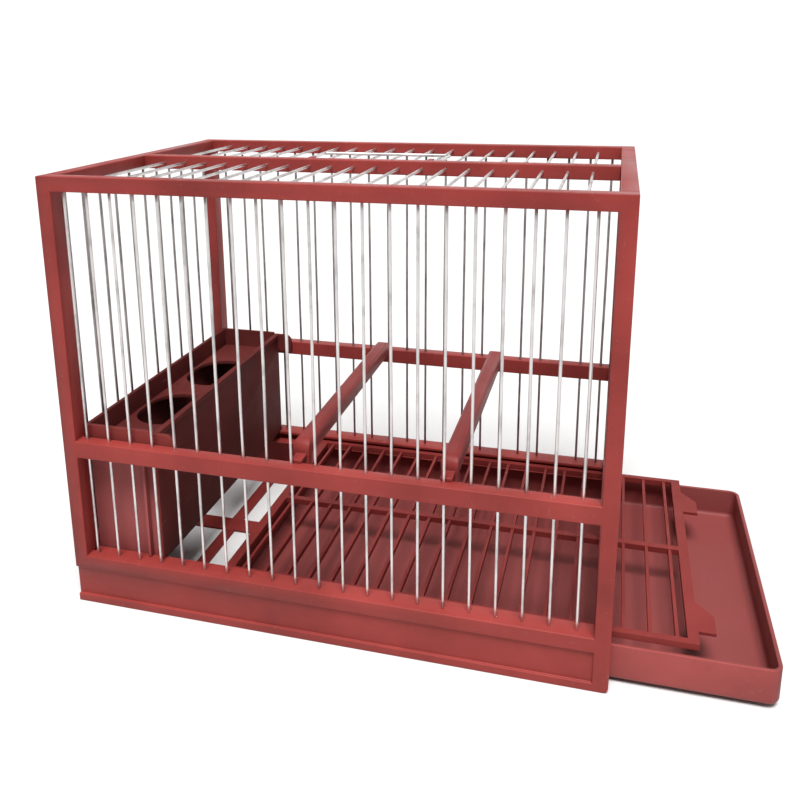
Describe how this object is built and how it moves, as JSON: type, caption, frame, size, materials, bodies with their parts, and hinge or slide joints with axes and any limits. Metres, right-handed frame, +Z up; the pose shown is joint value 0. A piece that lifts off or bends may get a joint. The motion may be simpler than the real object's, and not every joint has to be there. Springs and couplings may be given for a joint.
{
  "type": "bird cage",
  "caption": "Small box-shaped songbird cage with upright steel bars, perches, a feeder shelf at one end, a pull-out tray and floor grille, a lifting end door and a wire bail on the roof.",
  "frame": {"origin": "centre of the cage's 300 by 200 mm footprint, on the ground", "axes": "+X along the long side towards the end where the tray and grille pull out, +Y from front to back, +Z up"},
  "size_m": [0.38, 0.2, 0.25],
  "materials": {
    "red_plastic": "semi-gloss moulded",
    "steel_wire": "bright galvanised"
  },
  "bodies": {
    "cage": {"front_frame": "red_plastic", "back_frame": "red_plastic", "left_end_frame": "red_plastic", "right_end_frame": "red_plastic", "roof_centre_rail": "red_plastic", "handle_lugs": "red_plastic", "feeder_shelf": "red_plastic", "feeder_partition": "red_plastic", "feeder_front_wall": "red_plastic", "feeder_back_wall": "red_plastic", "feeder_left_wall": "red_plastic", "perch_left": "red_plastic", "perch_right": "red_plastic", "base_long_rail": "red_plastic", "base_cross_rails": "red_plastic", "front_wires": "steel_wire", "back_wires": "steel_wire", "left_end_wires": "steel_wire", "right_end_wires": "steel_wire", "roof_wires": "steel_wire"},
    "tray": {"tray": "red_plastic"},
    "grille": {"floor_grille": "red_plastic"},
    "door": {"door_frame": "red_plastic", "door_wires": "steel_wire"},
    "bail": {"handle_bail": "steel_wire"}
  },
  "joints": [
    {"name": "tray_slide", "type": "slide", "parent": "cage", "child": "tray", "axis": [1, 0, 0], "range_m": [-0.08, 0.2]},
    {"name": "grille_slide", "type": "slide", "parent": "cage", "child": "grille", "axis": [1, 0, 0], "range_m": [-0.042, 0.19]},
    {"name": "door_slide", "type": "slide", "parent": "cage", "child": "door", "axis": [0, 0, 1], "range_m": [0, 0.064]},
    {"name": "bail_hinge", "type": "hinge", "parent": "cage", "child": "bail", "pos_m": [0, 0.008, 0.248], "axis": [1, 0, 0], "range_deg": [0, 120]}
  ]
}
